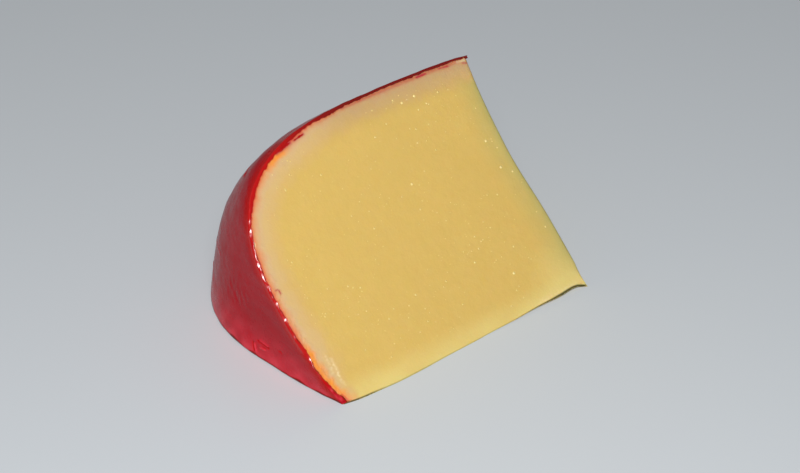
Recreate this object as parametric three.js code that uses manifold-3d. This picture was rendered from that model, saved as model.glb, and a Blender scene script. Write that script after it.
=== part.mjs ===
// A wedge of round, wax-coated cheese, lying on one of its two radial cuts.
// Millimetres. X runs along the whole cheese's axis, which is the wedge's sharp lower edge;
// Y runs back under the cheese and Z is up. The radial cut under the wedge lies on z = 0.
import * as THREE from "three";
import { mergeVertices } from "three/addons/utils/BufferGeometryUtils.js";
import Module from "manifold-3d";

// The cut
const WEDGE_ANGLE = THREE.MathUtils.degToRad(46.5); // between the two radial cuts
const EDGE_LENGTH = 82.2; // of the sharp edge, from the paste's corner to the cross cut

// The whole cheese: a flattened ball with a dimpled end, turned about its axis
const SIDE_RADIUS = 72.4; // outside of the wax, where the side is straight
const END_REACH = 9.1; // how far the end's crown would stand past the paste's corner
const DIMPLE_DEPTH = 7.2; // from the crown down to the axis
const DIMPLE_SPREAD = 17.8; // radius at which a third of the dimple is left
const CROWN_RADIUS = 34.1; // where the end turns into the shoulder
const SHOULDER_END = 38.4; // where the shoulder has turned into the straight side
const SHOULDER_PULL = 29; // length of both handles of the shoulder's curve
const WAX_THICKNESS = 1.1;
const RIM_HEIGHT = 0.4; // the wax's cut edge stands this far above the upper cut

// How far the wedge's side swells past the turned outline, by distance along it from the axis
const SWELL = [
  [40, 0], [52, 0.35], [62, 1], [69, 1.5], [73, 1.65], [77, 1.45], [82, 1.05], [90, 0.8], [100, 0.35], [112, 0],
];
const SWELL_RISES = [7, 27]; // degrees above the lower cut, from no swelling to all of it
const SWELL_FALLS = [42.5, 46.5];

// How far the side flares at its foot, by distance along the outline, and the degrees it fades over
const FLARE = [[8, 0], [28, 0.1], [36, 0.5], [50, 0.55], [56, 0.8], [63, 0.75], [72, 0.3], [82, 0]];
const FLARE_FADE = 10;

// The cross cut: its line across the upper cut, as distance along the axis at a distance from it
const CROSS_CUT = [
  [EDGE_LENGTH, 0],
  [79.8, 22],
  [76.6, 44],
  [76, 60],
  [76.6, 72],
];

// The sharp edge's toe: how far it bows out from the straight, by distance along it
const TOE = [[2, 0], [5, 0.35], [9, 0.65], [16, 0.85], [24, 0.65], [32, 0.3], [41, 0]];
const TOE_RISE = 4; // how far up the upper cut the toe blends in
const TOE_DEPTH = 4; // how far back under the cheese it reaches

// The thin corner's curl: how high it has lifted, by distance along the sharp edge
const CURL = [[46, 0], [57, 0.22], [67, 0.48], [72.7, 0.78], [77.3, 1.28], [78.8, 1.16], [80.3, 0.7], [83, 0]];
const CURL_REACH = 7; // how far back under the cheese the lift fades

// How finely curves are divided
const TURN_STEPS = 180;
const END_STEPS = 10;
const SHOULDER_STEPS = 26;
const SIDE_STEPS = 6;
const CROSS_CUT_STEPS = 24;
const EDGE_STEPS = 24; // of the toe and of the curl
const CURL_STEPS = 4; // back under the cheese

const BEYOND = 30; // how far cutting solids reach past what they cut
const PASTE_COLOUR = "#debb69";

const wasm = await Module();
wasm.setup();

// A closed three.js geometry as a solid that can be joined and cut.
function solidOf(geometry) {
  const bare = geometry.clone();
  bare.deleteAttribute("normal");
  bare.deleteAttribute("uv");
  const merged = mergeVertices(bare, 1e-3);
  return new wasm.Manifold(
    new wasm.Mesh({
      numProp: 3,
      vertProperties: merged.attributes.position.array,
      triVerts: new Uint32Array(merged.index.array),
    }),
  );
}

// A solid as a flat-shaded three.js geometry.
function geometryOf(solid) {
  const mesh = solid.getMesh();
  const positions = new THREE.BufferAttribute(mesh.vertProperties, 3);
  const indexed = new THREE.BufferGeometry();
  indexed.setAttribute("position", positions);
  indexed.setIndex(new THREE.BufferAttribute(mesh.triVerts, 1));
  const flat = indexed.toNonIndexed();
  flat.computeVertexNormals();
  return flat;
}

// The height at a place between [place, height] points, and the end ones' beyond them.
function heightAt(points, place) {
  const next = points.findIndex(([at]) => at >= place);
  if (next === 0) return points[0][1];
  if (next < 0) return points[points.length - 1][1];
  const [[from, low], [to, high]] = [points[next - 1], points[next]];
  return THREE.MathUtils.mapLinear(place, from, to, low, high);
}

// The end of the cheese: how far along the axis its surface lies at a radius.
function endAt(radius) {
  return -END_REACH + DIMPLE_DEPTH * Math.exp(-radius / DIMPLE_SPREAD);
}

// The waxed outline from the axis over the end and shoulder to the straight side, as (radius, along).
function waxOutline() {
  const points = [];
  for (let i = 0; i < END_STEPS; i++) {
    const radius = (CROWN_RADIUS * i) / END_STEPS;
    points.push(new THREE.Vector2(radius, endAt(radius)));
  }
  const crown = new THREE.Vector2(CROWN_RADIUS, endAt(CROWN_RADIUS));
  const beforeCrown = new THREE.Vector2(CROWN_RADIUS - 1, endAt(CROWN_RADIUS - 1));
  const leaving = crown.clone().sub(beforeCrown).setLength(SHOULDER_PULL);
  const shoulder = new THREE.CubicBezierCurve(
    crown,
    crown.clone().add(leaving),
    new THREE.Vector2(SIDE_RADIUS, SHOULDER_END - SHOULDER_PULL),
    new THREE.Vector2(SIDE_RADIUS, SHOULDER_END),
  );
  points.push(...shoulder.getPoints(SHOULDER_STEPS));
  const sideEnd = EDGE_LENGTH + BEYOND;
  for (let i = 1; i <= SIDE_STEPS; i++) {
    const along = SHOULDER_END + ((sideEnd - SHOULDER_END) * i) / SIDE_STEPS;
    points.push(new THREE.Vector2(SIDE_RADIUS, along));
  }
  return points;
}

// The directions square to an outline, out of the cheese.
function outwards(outline) {
  return outline.map((point, i) => {
    const before = outline[Math.max(i - 1, 0)];
    const after = outline[Math.min(i + 1, outline.length - 1)];
    const along = after.clone().sub(before).normalize();
    return new THREE.Vector2(along.y, -along.x);
  });
}

// How far the wedge stands out of the turned outline, at a distance along it and an angle above the lower cut.
function fullness(distance, turn) {
  const degrees = THREE.MathUtils.radToDeg(turn);
  const rises = THREE.MathUtils.smoothstep(degrees, ...SWELL_RISES);
  const falls = 1 - THREE.MathUtils.smoothstep(degrees, ...SWELL_FALLS);
  const flare = Math.exp(-((degrees / FLARE_FADE) ** 2));
  return heightAt(SWELL, distance) * rises * falls + heightAt(FLARE, distance) * flare;
}

// The cheese turned about the X axis, a depth inside its outside, with the wedge's own fullness.
function turned(depth) {
  const outer = waxOutline();
  const out = outwards(outer);
  const outline = outer.map((point, i) => point.clone().addScaledVector(out[i], -depth));
  outline[0].x = 0;
  const profile = [...outline, new THREE.Vector2(0, outline[outline.length - 1].y)];
  const distances = [0];
  for (let i = 1; i < outer.length; i++) {
    distances.push(distances[i - 1] + outer[i].distanceTo(outer[i - 1]));
  }
  const halfStep = Math.PI / TURN_STEPS;
  const lathe = new THREE.LatheGeometry(profile, TURN_STEPS, halfStep, 2 * Math.PI);
  lathe.rotateZ(-Math.PI / 2).rotateX(Math.PI);
  const positions = lathe.attributes.position;
  for (let i = 0; i < positions.count; i++) {
    const j = i % profile.length;
    if (j === 0 || j >= outer.length) continue;
    const place = new THREE.Vector3().fromBufferAttribute(positions, i);
    const turn = Math.atan2(place.z, place.y);
    const radial = new THREE.Vector3(0, Math.cos(turn), Math.sin(turn));
    const full = fullness(distances[j], turn);
    place.addScaledVector(radial, out[j].x * full);
    place.x += out[j].y * full;
    positions.setXYZ(i, ...place);
  }
  return solidOf(lathe);
}

// A cross-section in the Y-Z plane as a bar along X that reaches past the cheese at both ends.
function bar(corners) {
  const shape = new THREE.Shape(corners.map(([y, z]) => new THREE.Vector2(y, z)));
  const depth = EDGE_LENGTH + 2 * BEYOND;
  const section = new THREE.ExtrudeGeometry(shape, { depth, bevelEnabled: false });
  const across = new THREE.Matrix4().makeBasis(
    new THREE.Vector3(0, 1, 0),
    new THREE.Vector3(0, 0, 1),
    new THREE.Vector3(1, 0, 0),
  );
  return solidOf(section.applyMatrix4(across).translate(-BEYOND, 0, 0));
}

// All that lies between the two radial cuts, with the upper one raised by a height.
function betweenCuts(raised) {
  const reach = SIDE_RADIUS + BEYOND;
  const front = -raised / Math.sin(WEDGE_ANGLE);
  const top = [front + reach * Math.cos(WEDGE_ANGLE), reach * Math.sin(WEDGE_ANGLE)];
  return bar([[front, 0], [reach, 0], [reach, top[1]], top]);
}

// What the cross cut takes away: the space past its line, which runs square to the upper cut.
function pastCrossCut() {
  const line = new THREE.SplineCurve(CROSS_CUT.map(([along, out]) => new THREE.Vector2(along, out)));
  const points = line.getPoints(CROSS_CUT_STEPS);
  const [first, last] = [points[0], points[points.length - 1]];
  const far = EDGE_LENGTH + BEYOND + 1;
  const shape = new THREE.Shape([
    new THREE.Vector2(first.x, -BEYOND),
    ...points,
    new THREE.Vector2(last.x, SIDE_RADIUS + BEYOND),
    new THREE.Vector2(far, SIDE_RADIUS + BEYOND),
    new THREE.Vector2(far, -BEYOND),
  ]);
  const depth = 2 * (SIDE_RADIUS + BEYOND);
  const knife = new THREE.ExtrudeGeometry(shape, { depth, bevelEnabled: false });
  knife.translate(0, 0, -depth / 2);
  return solidOf(knife.rotateX(WEDGE_ANGLE));
}

// A solid through cross-sections in Y-Z planes. sectionAt gives one's [y, z] corners, anticlockwise
// from +X, for the height that points along the sharp edge have there.
function alongEdge(points, sectionAt) {
  const [from, to] = [points[0][0], points[points.length - 1][0]];
  const positions = [];
  const faces = [];
  const middles = [];
  for (let i = 0; i <= EDGE_STEPS; i++) {
    const x = THREE.MathUtils.lerp(from, to, i / EDGE_STEPS);
    const section = sectionAt(heightAt(points, x)).map(([y, z]) => new THREE.Vector3(x, y, z));
    const count = section.length;
    positions.push(...section);
    middles.push(section.reduce((sum, corner) => sum.add(corner), new THREE.Vector3()).divideScalar(count));
    for (let j = 0; j < count && i > 0; j++) {
      const [a, b] = [i * count + j, i * count + ((j + 1) % count)];
      faces.push(a - count, b - count, b, a - count, b, a);
    }
  }
  const count = positions.length / (EDGE_STEPS + 1);
  const last = EDGE_STEPS * count;
  positions.push(middles[0], middles[EDGE_STEPS]);
  for (let j = 0; j < count; j++) {
    const k = (j + 1) % count;
    faces.push(positions.length - 2, k, j, positions.length - 1, last + j, last + k);
  }
  return solidOf(new THREE.BufferGeometry().setFromPoints(positions).setIndex(faces));
}

// The toe along the sharp edge, which runs flatter than the upper cut.
function toe() {
  const top = [TOE_RISE * Math.cos(WEDGE_ANGLE), TOE_RISE * Math.sin(WEDGE_ANGLE)];
  return alongEdge(TOE, (bow) => [[-bow, 0], [TOE_DEPTH, 0], top]);
}

// The hollow under the curled corner.
function curl() {
  return alongEdge(CURL, (height) => {
    const front = height / Math.tan(WEDGE_ANGLE);
    const roof = [];
    for (let i = 0; i <= CURL_STEPS; i++) {
      const fade = i / CURL_STEPS;
      roof.push([THREE.MathUtils.lerp(CURL_REACH, front, fade), height * fade ** 2]);
    }
    return [[-1, -1], [CURL_REACH, -1], ...roof, [-1, height]];
  });
}

// The wedge: waxed cheese between the cuts, with the paste lower than the wax's cut edge.
function wedgeGeometry() {
  const waxed = turned(0).intersect(betweenCuts(RIM_HEIGHT));
  const aboveCut = betweenCuts(RIM_HEIGHT + 1).subtract(betweenCuts(0));
  const recess = turned(WAX_THICKNESS).intersect(aboveCut);
  const wedge = waxed.subtract(recess).subtract(pastCrossCut()).add(toe());
  return geometryOf(wedge.subtract(curl()));
}

function cheeseWedge() {
  const geometry = wedgeGeometry();
  const colour = { color: PASTE_COLOUR, roughness: 0.45, metalness: 0 };
  const mesh = new THREE.Mesh(geometry, new THREE.MeshStandardMaterial(colour));
  mesh.name = "cheese_wedge";
  geometry.computeBoundingBox();
  const middle = geometry.boundingBox.getCenter(new THREE.Vector3());
  mesh.position.set(-middle.x, -middle.y, 0);
  return mesh;
}

const part = new THREE.Group();
part.add(cheeseWedge());

export default part;
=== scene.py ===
"""Looks of a wedge of red-waxed cheese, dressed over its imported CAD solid, for Blender 4.5.

Lengths are millimetres in the cheese's own terms until the meshes are made:
    x      along the whole cheese's axis, which is the wedge's thin lower edge
    r      straight out from that axis
    angle  about the axis, 0 on the cut that the wedge lies on, WEDGE_ANGLE on the upper cut
    s      along the outside of the wax from the axis, over the end and shoulder, to the cross cut

Named values of these kinds recur:
    a curve   (place, value) points that curve joins
    a fade    where smoothstep is 0, then where it is 1
    waves     (height, wavelength, seed) of the ripples that relief adds up
    strokes   (from, to, width, strength or height)
"""

import math

import bmesh
import bpy
import numpy as np
from mathutils import Matrix, Vector
from mathutils.geometry import delaunay_2d_cdt


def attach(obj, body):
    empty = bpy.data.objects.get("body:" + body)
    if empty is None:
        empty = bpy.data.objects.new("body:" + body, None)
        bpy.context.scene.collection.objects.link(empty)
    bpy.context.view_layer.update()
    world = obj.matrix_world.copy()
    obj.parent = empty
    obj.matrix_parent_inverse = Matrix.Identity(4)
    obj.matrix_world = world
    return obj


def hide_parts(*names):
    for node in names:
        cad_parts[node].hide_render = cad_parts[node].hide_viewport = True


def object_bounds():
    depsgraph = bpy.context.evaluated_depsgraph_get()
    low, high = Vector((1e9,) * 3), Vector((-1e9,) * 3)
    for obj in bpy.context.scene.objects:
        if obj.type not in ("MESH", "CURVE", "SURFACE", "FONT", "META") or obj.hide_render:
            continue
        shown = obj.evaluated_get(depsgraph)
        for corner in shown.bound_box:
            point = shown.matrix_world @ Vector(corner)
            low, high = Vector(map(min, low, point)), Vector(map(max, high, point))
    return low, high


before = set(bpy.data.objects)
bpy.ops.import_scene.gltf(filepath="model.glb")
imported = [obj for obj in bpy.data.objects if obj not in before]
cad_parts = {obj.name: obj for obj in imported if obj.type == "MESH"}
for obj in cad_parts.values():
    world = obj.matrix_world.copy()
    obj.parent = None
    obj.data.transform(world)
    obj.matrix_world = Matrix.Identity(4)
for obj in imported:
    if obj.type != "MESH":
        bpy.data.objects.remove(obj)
cad_low, cad_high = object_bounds()

MM = 0.001

# The wedge and the whole cheese it was cut from, as in the CAD source but for the cross cut's upper end
WEDGE_ANGLE = math.radians(46.5)
END_REACH = 9.1
DIMPLE_DEPTH = 7.2
DIMPLE_SPREAD = 17.8
CROWN_RADIUS = 34.1
SIDE_RADIUS = 72.4
SHOULDER_END = 38.4
SHOULDER_PULL = 29
EDGE_LENGTH = 82.2
CROSS_CUT = ((0, EDGE_LENGTH), (22, 79.8), (44, 76.6), (60, 76), (73, 76.5))  # x by distance out

# How far the side swells past the turned outline and flares at its foot, by s; not quite as in the CAD source
SWELL = (
    (40, 0), (52, 0.2), (62, 0.7), (69, 1.2), (73, 1.3), (77, 1.1), (82, 0.8), (90, 0.65), (100, 0.35),
    (112, 0),
)
SWELL_RISES = (7, 27)  # degrees above the lower cut
SWELL_FALLS = (40, 46.5)
FLARE = ((8, 0), (24, 0.3), (34, 0.85), (44, 0.8), (56, 0.5), (63, 0.45), (72, 0.2), (82, 0))
FLARE_FADE = 10  # degrees

# The sharp edge, by x: its toe bows out on the lower cut, and its thin corner has drawn up the upper one
TOE = (
    (-2, 0), (0.6, 0.5), (4, 1.0), (9, 1.2), (16, 1.5), (24, 1.3), (32, 0.8), (41, 0.45), (50, 0.15),
    (62, 0.2), (75, 0.8), (82.2, 0.5),
)
TOE_REACH = 5  # out from the axis
CURL_LIFT = (
    (44, 0), (57, 0.35), (63, 0.75), (67, 0.95), (72.7, 1.2),
    (77.3, 1.62), (78.8, 1.5), (80.3, 0.95), (82.2, 0.1),
)
CURL_REACH = 7

# The painted shadow line under the sharp edge, by x
SHADOW_LINE_WIDTH = ((0, 0.42), (8, 0.34), (14, 0.24), (60, 0.24), (68, 0.46), (74, 0.8), (80, 0.8), (82.2, 0.5))
SHADOW_LINE_STRENGTH = ((0, 1), (6, 0.85), (13, 0.35), (50, 0.3), (60, 0.6), (68, 1))

DROOP = ((44, 0), (62, 0.2), (68, 0.5), (72, 0.65), (76, 0.9))  # of the side towards the cross cut, by x
CUT_RADIUS = SIDE_RADIUS - DROOP[-1][1]  # of the outside of the wax at the cross cut

# The wax's cut edge on the upper cut, by s
RIM_WIDTH = (
    (0, 2.3), (2, 1.9), (4, 1.2), (7, 0.9), (12, 0.65), (17, 1.05), (22, 0.7), (27, 0.85), (32, 0.7),
    (37, 0.8), (42, 1.05), (47, 0.85), (57, 0.95), (62, 1.15), (68, 1.0), (77, 0.95), (83, 1.2), (88, 0.85),
    (97, 1.2), (103, 0.95), (109, 0.85), (120, 0.8), (127, 0.9), (134, 0.85), (140, 0.85), (144, 0.65),
)
RIM_TEAR = ((0.12, 2.2, 44), (0.06, 0.9, 45))  # waves, as a share of its width
RIM_SHADE = ((0, 0), (74, 0), (84, 0.4), (96, 0.85), (106, 1), (143, 1))  # painted shade along the top: 0 bright red, 1 maroon
LIP_HEIGHT = (
    (0, 0.3), (8, 0.3), (12, 0.42), (17, 0.22), (22, 0.29), (40, 0.31), (52, 0.3), (60, 0.14), (100, 0.1),
    (141, 0.12), (144, -0.45),
)
LIP_LEVEL = ((0, 0), (50, 0), (60, 1), (102, 1), (112, 0.5), (143, 0.5))  # 0 a rolled lip, 1 a level edge
LIP_WAVES = ((0.18, 2.6, 46), (0.22, 7, 47))  # as a share of its height
LIP_UNEVEN = (0.2, 2.1)  # least and most of its height that the waves leave
WAVINESS = ((9, 1), (12, 0.15), (17, 0.15), (20, 1))  # share of the lip's waves
LEAN = ((8.5, 0), (12, 0.5), (16.5, -0.5), (20, 0))  # of the lip's crest towards the outside
LEAN_WAVES = ((0.17, 3.4, 48),)

# The wax's side
BROW = ((0, 0.15), (52, 0.15), (68, 0.08), (85, 0))  # how far it stands out just below the rim, by s
BROW_DEPTH = 1.6  # below the rim, where the brow is fullest
BROW_FADE = 8  # below the rim, where it has gone
PEEL = ((104, 0), (112, 0.2), (136, 0.2), (140, 0.2), (142, 0.0), (144, -0.25))  # how far it stands off, by s
PEEL_FADE = (9, 1)  # below the rim
WAX_DEPTH = 1.15  # of the wax inside, as a share of the rim's width
PROUD = 0.12  # it ends this far past the paste at the cross cut
PROUD_FADE = (0.995, 1)  # share of the way there

# The paste
PASTE_INSET = 0.3  # it reaches this close to the outside of the wax
EDGE_ROUNDING = 1.5  # of the edge between the upper cut and the cross cut
EDGE_ROUNDING_FADE = (0, 6)  # out from the axis
EDGE_STANDS = 1.05  # the cross cut stands out this far, so that its rounded edge shows on the CAD's line
EDGE_STANDS_FADE = (0, 8)


# ---- curves and random relief


def curve(points):
    """A smooth function through (x, y) points that never overshoots them, and keeps level beyond them."""
    xs, ys = np.array(points, float).T
    rises = np.diff(ys) / np.diff(xs)
    slopes = np.zeros(len(xs))
    slopes[[0, -1]] = rises[[0, -1]]
    before, after = rises[:-1], rises[1:]
    onward = before * after > 0
    slopes[1:-1][onward] = 2 * (before * after)[onward] / (before + after)[onward]

    def at(x):
        x = np.clip(x, xs[0], xs[-1])
        i = np.clip(np.searchsorted(xs, x) - 1, 0, len(xs) - 2)
        step = xs[i + 1] - xs[i]
        t = (x - xs[i]) / step
        rise = t * t * (3 - 2 * t)
        start = step * slopes[i] * t * (1 - t) ** 2
        end = step * slopes[i + 1] * t * t * (t - 1)
        return ys[i] + (ys[i + 1] - ys[i]) * rise + start + end

    return at


def smoothstep(low, high, value):
    t = np.clip((value - low) / (high - low), 0, 1)
    return t * t * (3 - 2 * t)


def faded(fades, *values):
    """The product of several fades, each at its own value."""
    return math.prod(smoothstep(*fade, value) for fade, value in zip(fades, values))


WAVES_IN_RIPPLES = 28
WAVELENGTH_SPREAD = (0.7, 1.5)


def ripples(a, b, wavelength, seed):
    """Random smooth relief over the plane (a, b), mostly within -1 and 1, with waves of about that length."""
    rng = np.random.default_rng(seed)
    field = 0
    for _ in range(WAVES_IN_RIPPLES):
        turn = rng.uniform(0, 2 * math.pi)
        pace = 2 * math.pi / (wavelength * rng.uniform(*WAVELENGTH_SPREAD))
        shift = rng.uniform(0, 2 * math.pi)
        field = field + np.cos(pace * (a * math.cos(turn) + b * math.sin(turn)) + shift)
    return field / math.sqrt(WAVES_IN_RIPPLES)


def relief(a, b, waves):
    """Ripples of several sizes over the plane (a, b)."""
    return sum(height * ripples(a, b, wavelength, seed) for height, wavelength, seed in waves)


def stroke(a, b, start, end, width):
    """1 along a line from start to end in the plane (a, b), falling to 0 a width away and at its ends."""
    start, end = np.array(start, float), np.array(end, float)
    length = np.linalg.norm(end - start)
    along = (end - start) / length
    t = (a - start[0]) * along[0] + (b - start[1]) * along[1]
    off = (b - start[1]) * along[0] - (a - start[0]) * along[1]
    ends = smoothstep(-width, width, t) * smoothstep(length + width, length - width, t)
    return np.exp(-((off / width) ** 2)) * ends


def strokes_at(a, b, strokes):
    return sum(strength * stroke(a, b, start, end, width) for start, end, width, strength in strokes)


# ---- the whole cheese's outline


END_POINTS = 120
SHOULDER_POINTS = 240
SIDE_POINTS = 100
SIDE_START = SHOULDER_END + 0.5
OUTLINE_END = 90
X_GROWS_FROM = 240  # place in the outline
AXIS_BLEND = 6  # the wax's depth is measured along the axis this near to it


def waxed_outline():
    """The outside of the wax as (x, r) points from the axis to past the cross cut."""
    radius = np.linspace(0, CROWN_RADIUS, END_POINTS)
    end = np.column_stack([DIMPLE_DEPTH * np.exp(-radius / DIMPLE_SPREAD) - END_REACH, radius])
    leaving = end[-1] - end[-2]
    leaving *= SHOULDER_PULL / np.linalg.norm(leaving)
    shoulder_end = np.array([SHOULDER_END, SIDE_RADIUS])
    arriving = np.array([SHOULDER_PULL, 0])
    corners = [end[-1], end[-1] + leaving, shoulder_end - arriving, shoulder_end]
    t = np.linspace(0, 1, SHOULDER_POINTS)[1:, None]
    weights = [(1 - t) ** 3, 3 * (1 - t) ** 2 * t, 3 * (1 - t) * t**2, t**3]
    shoulder = sum(weight * corner for weight, corner in zip(weights, corners))
    along = np.linspace(SIDE_START, OUTLINE_END, SIDE_POINTS)
    side = np.column_stack([along, np.full(SIDE_POINTS, SIDE_RADIUS)])
    return np.vstack([end, shoulder, side])


OUTLINE = waxed_outline()
OUTLINE_S = np.concatenate([[0], np.cumsum(np.linalg.norm(np.diff(OUTLINE, axis=0), axis=1))])
TANGENT = np.gradient(OUTLINE, OUTLINE_S, axis=0)
SHOULDER_S = float(np.interp(SHOULDER_END, OUTLINE[X_GROWS_FROM:, 0], OUTLINE_S[X_GROWS_FROM:]))


def cross_cut_at(distance_out):
    return curve(CROSS_CUT)(distance_out) + EDGE_STANDS * smoothstep(*EDGE_STANDS_FADE, distance_out)


def rim_width(s):
    """How wide the wax's cut edge is on the upper cut, as unevenly as it was torn."""
    return curve(RIM_WIDTH)(s) * (1 + relief(s, 0, RIM_TEAR))


def fullness(s, degrees):
    """How far the side stands out of the turned outline."""
    near_top = np.clip((degrees - SWELL_FALLS[0]) / (SWELL_FALLS[1] - SWELL_FALLS[0]), 0, 1)
    swollen = curve(SWELL)(s) * smoothstep(*SWELL_RISES, degrees) * (1 - near_top**2)
    return swollen + curve(FLARE)(s) * np.exp(-((degrees / FLARE_FADE) ** 2))


def outline_at(s):
    """x and r on the outside of the wax, and the direction out of it."""
    x = np.interp(s, OUTLINE_S, OUTLINE[:, 0])
    r = np.interp(s, OUTLINE_S, OUTLINE[:, 1]) - curve(DROOP)(x)
    out_x = -np.interp(s, OUTLINE_S, TANGENT[:, 1])
    out_r = np.interp(s, OUTLINE_S, TANGENT[:, 0]) * smoothstep(0, AXIS_BLEND, s)
    return x, r, out_x, out_r


def side_end(angle, depth=0):
    """s at which the wax's side, at an angle, meets the cross cut."""
    distance_out = (CUT_RADIUS - depth) * np.cos(WEDGE_ANGLE - angle)
    return SHOULDER_S + cross_cut_at(distance_out) - SHOULDER_END


def shared_s(share, angle, depth=0):
    """s for shares of the way from the axis to the cross cut, where the shoulder keeps its place."""
    nominal = share * side_end(WEDGE_ANGLE, depth)
    side_share = (nominal - SHOULDER_S) / (side_end(WEDGE_ANGLE, depth) - SHOULDER_S)
    stretched = SHOULDER_S + side_share * (side_end(angle, depth) - SHOULDER_S)
    return np.where(nominal > SHOULDER_S, stretched, nominal)


def turned(x, r, angle):
    """Points at an angle about the axis."""
    return np.stack(np.broadcast_arrays(x, r * np.cos(angle), r * np.sin(angle)), axis=-1)


def raised(points, height):
    """Points moved square to the upper cut."""
    up = np.array([0, -math.sin(WEDGE_ANGLE), math.cos(WEDGE_ANGLE)])
    return points + np.asarray(height)[..., None] * up


# The paste's corner on the axis, in the shared frame
CORNER = Vector((cad_high.x - EDGE_LENGTH * MM, cad_high.y - SIDE_RADIUS * MM, 0))


def in_frame(points):
    """Millimetres from the paste's corner as metres in the shared frame."""
    return np.asarray(points).reshape(-1, 3) * MM + np.array(CORNER)


# ---- meshes


WELD = 0.004  # points this near to each other become one
PASTE_WELD = 0.01
DEGENERATE = 0.1  # share of the weld below which an edge is dissolved
SHARP_ANGLE = math.radians(38)
SAME_PLACE = 1e-5  # for the triangulation
INNER_FACES_ONLY = 1  # the triangulation's output type


def placed(name, data):
    """A new object in the scene."""
    thing = bpy.data.objects.new(name, data)
    bpy.context.scene.collection.objects.link(thing)
    return thing


def mesh_object(name, points, faces, masks=None, weld=WELD):
    """A smooth mesh from points in millimetres, its doubled points welded, with float masks by point."""
    mesh = bpy.data.meshes.new(name)
    mesh.from_pydata(in_frame(points).tolist(), [], faces)
    for mask, values in (masks or {}).items():
        attribute = mesh.attributes.new(mask, "FLOAT", "POINT")
        attribute.data.foreach_set("value", np.asarray(values, np.float32).ravel())
    bm = bmesh.new()
    bm.from_mesh(mesh)
    bmesh.ops.remove_doubles(bm, verts=bm.verts, dist=weld * MM)
    bmesh.ops.dissolve_degenerate(bm, edges=bm.edges, dist=weld * MM * DEGENERATE)
    bmesh.ops.recalc_face_normals(bm, faces=bm.faces)
    bm.to_mesh(mesh)
    bm.free()
    mesh.shade_smooth()
    mesh.set_sharp_from_angle(angle=SHARP_ANGLE)
    return placed(name, mesh)


def filled(loop, inner):
    """Triangles over a flat region: (points, faces) of its closed loop and the points inside it."""
    points = [Vector(p) for p in np.vstack([loop, inner]).tolist()]
    count = len(loop)
    edges = [(i, (i + 1) % count) for i in range(count)]
    outer = [list(range(count))]
    flat, _, faces, _, _, _ = delaunay_2d_cdt(points, edges, outer, INNER_FACES_ONLY, SAME_PLACE)
    return np.array([tuple(p) for p in flat]), [list(face) for face in faces]


def lattice(low, high, step):
    """A triangular lattice of points over a box in the plane."""
    rows = np.arange(low[1], high[1], step * math.sqrt(0.75))
    columns = np.arange(low[0], high[0], step)
    a, b = np.meshgrid(columns, rows)
    a = a + (np.arange(len(rows)) % 2)[:, None] * step / 2
    return np.column_stack([a.ravel(), b.ravel()])


def grid_faces(rows, columns, wrap=False):
    """Quads over a grid of points in row order, closed across the columns if wrapped."""
    faces = []
    last = columns if wrap else columns - 1
    for i in range(rows - 1):
        row, above = i * columns, (i + 1) * columns
        for j in range(last):
            k = (j + 1) % columns
            faces.append((row + j, row + k, above + k, above + j))
    return faces


def shifted(faces, start):
    """Faces for points that come after others in the list."""
    return [[start + i for i in face] for face in faces]


# ---- the paste's shape


WAX_SAMPLES = 700
POINTS_AT_ONCE = 4000  # so that the table of their distances stays small

# How the paste's mesh is divided
PASTE_SHARES = np.linspace(0, 1, 400)
PASTE_OUT = np.linspace(0, CUT_RADIUS - PASTE_INSET, 180)
THIN_EDGE_POINTS = 160
UNDER_WAX_STEPS = 14  # of the paste's hidden side, from the lower cut to the upper one
WAX_BAND_STEP = 0.25  # between the rows of points beside the wax
WAX_BANDS = 12
EDGE_BANDS = (0.16, 0.32, 0.48, 0.64, 0.9, 1.25)  # rows beside the rounded edge
THIN_BANDS = (0.15, 0.3, 0.45, 0.6, 0.75)  # rows beside the sharp edge
THIN_BAND_SPAN = (0.5, 81.5, 200)  # x from, to, points
UPPER_CELL = 0.55
UPPER_CELLS_FROM = (1.6, 0.95)  # the cross cut, the sharp edge
UPPER_GAP = 0.12
LOWER_CELL = 2.2
LOWER_CELLS_FROM = 8  # the sharp edge, beside which there are finer cells
LOWER_EDGE_CELLS = ((0.5, 0.4), (82, 7.5), 0.9)  # box from, to, cell
LOWER_GAP = 0.35
CROSS_CELL = 0.75
CROSS_CELLS_FROM = 1.6
CROSS_GAP = 0.2
CROSS_BANDS_SKIP = 4  # rows start this many points out, past the sharp corner

# The upper cut's relief
KNIFE_WAVES = ((0.1, 26, 11),)
KNIFE_LINES = ((0.018, 9, 12),)
KNIFE_LINES_STRETCH = 2.2
CRUMBS = ((0.06, 1.6, 13), (0.05, 0.9, 14))
CRUMBS_BESIDE_WAX = (4, 0.4)
CRUMBS_NEAR_TIP = (60, 20)
TIP_X = 2
UPPER_WAVES_FADES = ((0, 3), (0, 4), (-0.2, 0.8))  # from the sharp edge, the cross cut, the wax
DROP = 0.12  # of the paste under the rim
DROP_FADES = ((0.1, -0.3), (0, 1))  # from the wax, the sharp edge

# The cross cut's relief
SAW_WAVES = ((0.12, 24, 31),)
SAW_LINES = ((0.04, 8, 32),)
SAW_LINES_STRETCH = 2
CROSS_WAVES_FADES = ((0, 3), (0, 3), (0, 1.5))  # from the upper cut, the lower cut, the wax


def rounded(t, radius):
    """Where a point goes that lies t from an edge once the edge is rounded: (distance from it, depth)."""
    radius = np.maximum(radius, 1e-6)
    half_arc = radius * math.pi / 4
    bend = np.clip((half_arc - t) / radius, 0, math.pi / 4)
    past = (radius - half_arc) * (1 - smoothstep(half_arc, half_arc + 2 * radius, t))
    distance = np.where(t < half_arc, radius * (1 - np.sin(bend)), t + past)
    return distance, radius * (1 - np.cos(bend))


def edge_radius(r):
    return EDGE_ROUNDING * smoothstep(*EDGE_ROUNDING_FADE, r)


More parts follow.
